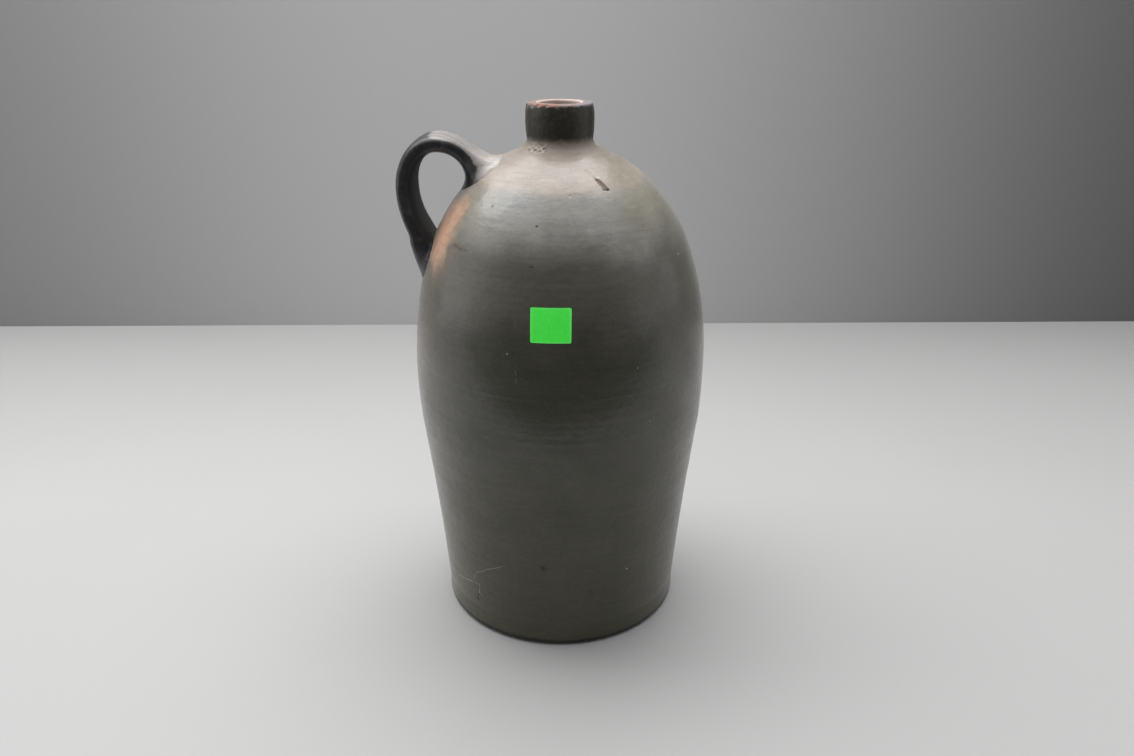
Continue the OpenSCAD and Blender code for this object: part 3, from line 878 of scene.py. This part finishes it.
NECK_SIDES = 320
neck_top = seat_h + neck_h
bulge_h = neck_top - neck_bulge_drop
fillet_r = (seat_r - neck_waist_r)/(1 - math.sin(crown_slope))
root_top = seat_h + fillet_r*math.cos(crown_slope)
u = np.linspace(0, 1, 30)[1:]
neck_line = np.concatenate([
    [[seat_r + 0.5, seat_h - 0.45]],
    arc(neck_waist_r + fillet_r, root_top, fillet_r, 270 - math.degrees(crown_slope), 180, 20),
    np.stack([neck_r - (neck_r - neck_waist_r)*(1 - u)**2, root_top + (bulge_h - root_top)*u], -1),
    np.stack([neck_r - (neck_r - rim_r)*u**2, bulge_h + (neck_top - rim_round_r - bulge_h)*u], -1),
    arc(rim_r - rim_round_r, neck_top - rim_round_r, rim_round_r, 0, 90, 12)[1:],
    arc(bore_r + rim_round_r, neck_top - rim_round_r, rim_round_r, 90, 180, 12),
    [[bore_r, seat_h - crown_wall_t]],
])
fine_neck = resample(neck_line, lambda z: 0.3 if z > 306 else 0.42)
spigot = [[spigot_r, seat_h - crown_wall_t], [spigot_r, seat_h - 0.5]]

neck_marks = list(RIM_CHIPS)
for at, up_h, size, proud in CRUMBS:
    k = neck_waist_r + fillet_r - math.sqrt(fillet_r**2 - (root_top - up_h)**2)
    neck_marks.append((k*math.sin(math.radians(at)), -k*math.cos(math.radians(at)), up_h, size, -proud))


def neck_shape(p, n):
    z, r = p[..., 2], np.hypot(p[..., 0], p[..., 1])
    outside = smooth(r, 13.5, 16)
    wob = (0.16*noise(p, (11, 11, 9), 12) - 0.16)*outside
    rise = z + 0.6*np.sin(np.arctan2(p[..., 0], -p[..., 1]))
    rings = 0.06*noise(np.stack([z*0, z*0, rise], -1), 2.1, 13)*outside
    skin = 0.05*clouds(p, 1.7, 2, 14)*outside
    worn = -(0.14 + 0.14*noise(p, 3.4, 15))*smooth(z, neck_top - 1.8, neck_top)
    return (wob + rings - 0.05 + skin)*smooth(z, 285.5, 288) + worn + dents(p, neck_marks)*(r > 12.2)


points, faces = turned(np.concatenate([fine_neck, spigot]), NECK_SIDES, neck_shape, closed=True)
points[:, 2] = np.minimum(points[:, 2], neck_top)
make("neck", points, faces, collar_glaze, ["neck_collar"])

# Handle

root_h = seat_h - root_drop
root_point = np.array([body_r(root_h), root_h])
root_dir = np.array([math.cos(root_angle), math.sin(root_angle)])
hidden_root = root_point - key_depth*root_dir
crest = root_point + [crest_out, crest_rise]
outermost = root_point + [handle_reach, -reach_drop]
landing_h = root_h - landing_drop
landing = np.array([body_r(landing_h) + landing_t/2, landing_h])
tail_h = landing_h - tail_len
tail_end = np.array([body_r(tail_h) - key_depth, tail_h])
landing_dir = np.array([math.sin(landing_lean), math.cos(landing_lean)])
strap_curves = [
    [hidden_root, hidden_root + 0.66*(crest[1] - hidden_root[1])*root_dir,
     crest - [0.44*crest_out, 0], crest],
    [crest, crest + [0.55*(outermost[0] - crest[0]), 0],
     outermost + [0, 0.55*(crest[1] - outermost[1])], outermost],
    [outermost, outermost - [0, 0.58*(outermost[1] - landing[1])],
     landing + 0.20*(outermost[1] - landing[1])*landing_dir, landing],
    [landing, landing - 0.33*tail_len*landing_dir,
     tail_end + 0.33*np.array([landing[0] - tail_end[0], tail_len]), tail_end],
]
# thickness and width as shares of the strap's, and squareness, at the five ends of the curves
t_shares = [4.1, 1, 0.97, landing_t/strap_t, 0.42]
w_shares = [1.1, 0.93, 1, 1, 0.5]
powers = [2.3, 3.0, 4.2, 4.0, 3.2]
ROOT, LANDING = 0, 2      # the curve that leaves the root, and the one that ends at the landing
STRAP_ROWS = (64, 34, 40, 60)
SECTION = 72


def strap_ring(stretch, u):
    """One section of the strap, and its centre."""

    def between(values, share):
        return values[stretch] + (values[stretch + 1] - values[stretch])*share

    d = bezier_tangent(strap_curves[stretch], u)
    n = unit(np.array([d[1], -d[0]]))
    share = 1 - (1 - u)**5 if stretch == ROOT else u**(4 if stretch == LANDING else 2)
    waist = 0.2*math.sin(math.pi*u)**2 if stretch == ROOT else 0
    t = strap_t*between(t_shares, share)/2
    w = strap_w*(between(w_shares, share) - waist)/2
    power = 2/between(powers, u)
    flare = 0.53*(t - strap_t/2) if stretch == ROOT else 0
    c = bezier(strap_curves[stretch], u) - flare*n
    a = np.arange(SECTION)/SECTION*2*np.pi
    a = a + 0.16*np.sin(4*a)      # more points at the corners
    across = np.sign(np.sin(a))*np.abs(np.sin(a))**power*w
    out = np.sign(np.cos(a))*np.abs(np.cos(a))**power*t
    ring = np.stack([-(c[0] + out*n[0]), across, c[1] + out*n[1]], -1)
    return ring, np.array([-c[0], 0, c[1]])


strap = [strap_ring(stretch, k/count) for stretch, count in enumerate(STRAP_ROWS)
         for k in range(0 if stretch == 0 else 1, count + 1)]
shell, middle = (np.array(part) for part in zip(*strap))
middle = middle[:, None]
landing_row = sum(STRAP_ROWS[:LANDING + 1])
for _ in range(14):      # the swell at the landing runs out softly
    low, high = landing_row - 9, landing_row + 10
    shell[low:high] = (shell[low - 1:high - 1] + 2*shell[low:high] + shell[low + 1:high + 1])/4

# wiped fillets where the strap meets the body
fillet, fillet_reach = 4.2, 3.4
dist, normal = to_body(shell)
away = unit(shell - middle)
lift = np.clip(1 - dist/fillet, 0, 1)
push = fillet*(1 - np.sqrt(np.clip(1 - lift**2, 0, 1)))
push = np.where(dist < fillet, np.minimum(push, fillet_reach), 0)
under_side = smooth(np.cos(np.arange(SECTION)/SECTION*2*np.pi), -0.3, 0.7)
push[:STRAP_ROWS[ROOT] + 1] *= 1 - 0.5*under_side      # the wiped clay is thinner inside the loop
tangent = away - (away*normal).sum(-1, keepdims=True)*normal
shell = shell + tangent*push[..., None]

# unevenness of the pulled clay, and the drips
flow = shell*[0.3, 1, 0.3]
uneven = (0.10*noise(shell, (14, 9, 14), 21) + 0.09*clouds(flow, 2.4, 2, 22)
          + 0.03*clouds(shell, 2.0, 2, 23) - 0.12)
shell = shell + away*(uneven*smooth(dist, 0, 3))[..., None]
for at, size in DRIPS:
    d = np.linalg.norm(shell - np.array(at), axis=-1)
    shell = shell + away*(0.30*size*np.exp(-(d/size)**2))[..., None]

faces = [f[::-1] for f in grid_faces(len(shell), SECTION)]
points = capped(shell.reshape(-1, 3), faces, 0, SECTION, turn_over=True)
points = capped(points, faces, (len(shell) - 1)*SECTION, SECTION, turn_over=True)
make("handle_strap", points, faces, strap_glaze, ["handle"])

# Label

COLS, ROWS = 44, 38
corner = 0.8      # radius of the label's corners
sunk = 0.19      # the skin of the wall lies about this much inside its smooth outline
share_x, share_z = np.meshgrid(np.linspace(-0.5, 0.5, COLS), np.linspace(-0.5, 0.5, ROWS))
at_x, at_z = share_x*label_w, label_up + share_z*label_h
# rounded corners: the outermost points move in along the corner's arc
flat_w, flat_h = label_w/2 - corner, label_h/2 - corner
past_x, past_z = np.abs(share_x)*label_w - flat_w, np.abs(share_z)*label_h - flat_h
far = np.hypot(np.maximum(past_x, 0), np.maximum(past_z, 0))
pull = np.where((past_x > 0) & (past_z > 0) & (far > corner), corner/np.maximum(far, 1e-6), 1)
at_x = np.where(pull < 1, np.sign(share_x)*(flat_w + np.maximum(past_x, 0)*pull), at_x)
at_z = np.where(pull < 1, label_up + np.sign(share_z)*(flat_h + np.maximum(past_z, 0)*pull), at_z)
wall_r = body_r(at_z)
angle = math.radians(-label_turn) + np.arcsin(at_x/wall_r)
# its upper right corner and its left end stand up a little
lift = (0.10 + 0.16*smooth(share_x, 0.40, 0.5)*smooth(share_z, 0.1, 0.5) + 0.10*smooth(-share_x, 0.44, 0.5)
        + 0.03*noise(np.stack([at_x, at_z*0, at_z], -1), 5, 31))
sheets = []
for extra in (0, label_t*0.8):
    reach = wall_r + lift - sunk + extra
    sheets.append(np.stack([reach*np.sin(angle), -reach*np.cos(angle), at_z], -1).reshape(-1, 3))
faces = [f[::-1] for f in grid_faces(ROWS, COLS, False)] + grid_faces(ROWS, COLS, False, start=ROWS*COLS)
edge = ([(0, j) for j in range(COLS)] + [(i, COLS - 1) for i in range(1, ROWS)]
        + [(ROWS - 1, j) for j in range(COLS - 2, -1, -1)] + [(i, 0) for i in range(ROWS - 2, 0, -1)])
edge = [i*COLS + j for i, j in edge]
faces += [[a, b, b + ROWS*COLS, a + ROWS*COLS] for a, b in zip(edge, edge[1:] + edge[:1])]
make("label", np.concatenate(sheets), faces, paper, ["price_label"])

# Floor, wall and light, in metres

FLOOR_HALF = 2.5
WALL_HALF_W, WALL_H = 1.6, 0.6
WALL_Y, WALL_TURN = 0.5170, 0.022      # the wall's middle, and how far behind it the right end stands


def plain(name, rough):
    """A material whose shader still needs its colour, and the place in mm."""
    m, t, out = material(name)
    bsdf = t.node("BsdfPrincipled")
    bsdf.inputs["Roughness"].default_value = rough
    return m, t, out, bsdf, place(t)


def choose(t, out, share, first, second):
    """The first shader where the share is 0 and the second where it is 1."""
    pick = t.node("MixShader")
    for k, value in enumerate((share, first, second)):
        t.put(pick.inputs[k], value)
    t.put(out.inputs["Surface"], pick.outputs[0])


def slab(name, corners, m):
    mesh = bpy.data.meshes.new(name)
    mesh.from_pydata(corners, [], [(0, 1, 2, 3)])
    o = bpy.data.objects.new(name, mesh)
    mesh.materials.append(m)
    bpy.context.scene.collection.objects.link(o)


# in reflections the pale floor ends in front of the jug
m, t, out, bsdf, p = plain("floor_paper", 0.6)
_, y, _ = t.split(p)
t.put(bsdf.inputs["Base Color"], t.mix(t.noise(p, 240, 3), (0.43, 0.427, 0.423), (0.46, 0.457, 0.453)))
dim = t.node("BsdfDiffuse")
dim.inputs["Color"].default_value = (0.05, 0.05, 0.05, 1)
choose(t, out, t.mul(t.node("LightPath").outputs["Is Glossy Ray"], t.step(y, -290, -400)),
       bsdf.outputs[0], dim.outputs[0])
slab("floor", [(-FLOOR_HALF, -FLOOR_HALF, 0), (FLOOR_HALF, -FLOOR_HALF, 0),
               (FLOOR_HALF, FLOOR_HALF, 0), (-FLOOR_HALF, FLOOR_HALF, 0)], m)

# the wall darkens to both sides, more to the right, and is clear from behind
m, t, out, bsdf, p = plain("wall_paper", 0.9)
x, _, _ = t.split(p)
shade = t.mul(t.step(x, -60, 780, 1.0, 0.24), t.step(x, -120, -760, 1.0, 0.52))
t.put(bsdf.inputs["Base Color"], t.mix(shade, (0.02, 0.02, 0.02), (0.60, 0.60, 0.60)))
choose(t, out, t.node("NewGeometry").outputs["Backfacing"],
       bsdf.outputs[0], t.node("BsdfTransparent").outputs[0])
near_y, far_y = WALL_Y - WALL_TURN, WALL_Y + WALL_TURN
slab("wall", [(-WALL_HALF_W, near_y, 0), (WALL_HALF_W, far_y, 0),
              (WALL_HALF_W, far_y, WALL_H), (-WALL_HALF_W, near_y, WALL_H)], m)

lamp = bpy.data.lights.new("overhead_softbox", "AREA")
lamp.shape = "RECTANGLE"
lamp.size, lamp.size_y = 2.05, 1.06
lamp.energy = 24.5
softbox = bpy.data.objects.new("overhead_softbox", lamp)
softbox.location = (-0.42, 0.47, 1.3)
bpy.context.scene.collection.objects.link(softbox)

# the room: dark behind the camera, paler on the left than on the right
world = bpy.data.worlds.new("studio")
world.use_nodes = True
bpy.context.scene.world = world
t = Tree(world.node_tree)
x, y, z = t.split(t.node("TexCoord").outputs["Generated"])
sides = t.mix(t.step(x, -0.6, 0.6), (1.08, 1.08, 1.09), (0.60, 0.60, 0.61))
around = t.mix(t.step(y, -0.85, -0.1), (0.055, 0.055, 0.057), sides)
around = t.mix(t.step(y, 0.2, 0.8), around, (0.66, 0.66, 0.66))
above = t.mix(t.step(x, -0.75, -0.3), (0.80, 0.80, 0.81), (1.12, 1.12, 1.13))
background = t.node("Background")
t.put(background.inputs["Color"], t.mix(t.step(z, 0.55, 0.9), around, above))
background.inputs["Strength"].default_value = 1.0
t.put(t.node("OutputWorld").inputs["Surface"], background.outputs[0])

# Camera and view

SENSOR = 36
PHOTO_W, FOCAL_PX = 1134, 915      # the photograph's width and the fitted focal length, in its pixels
LOOK_DOWN = 22.62

camera_data = bpy.data.cameras.new("camera")
camera_data.sensor_width = SENSOR
camera_data.lens = FOCAL_PX/PHOTO_W*SENSOR
camera = bpy.data.objects.new("camera", camera_data)
camera.location = (0.004, -0.5233, 0.363)
camera.rotation_euler = (math.radians(90 - LOOK_DOWN), 0, 0)
bpy.context.scene.collection.objects.link(camera)
bpy.context.scene.camera = camera
bpy.context.scene.view_settings.view_transform = "Standard"
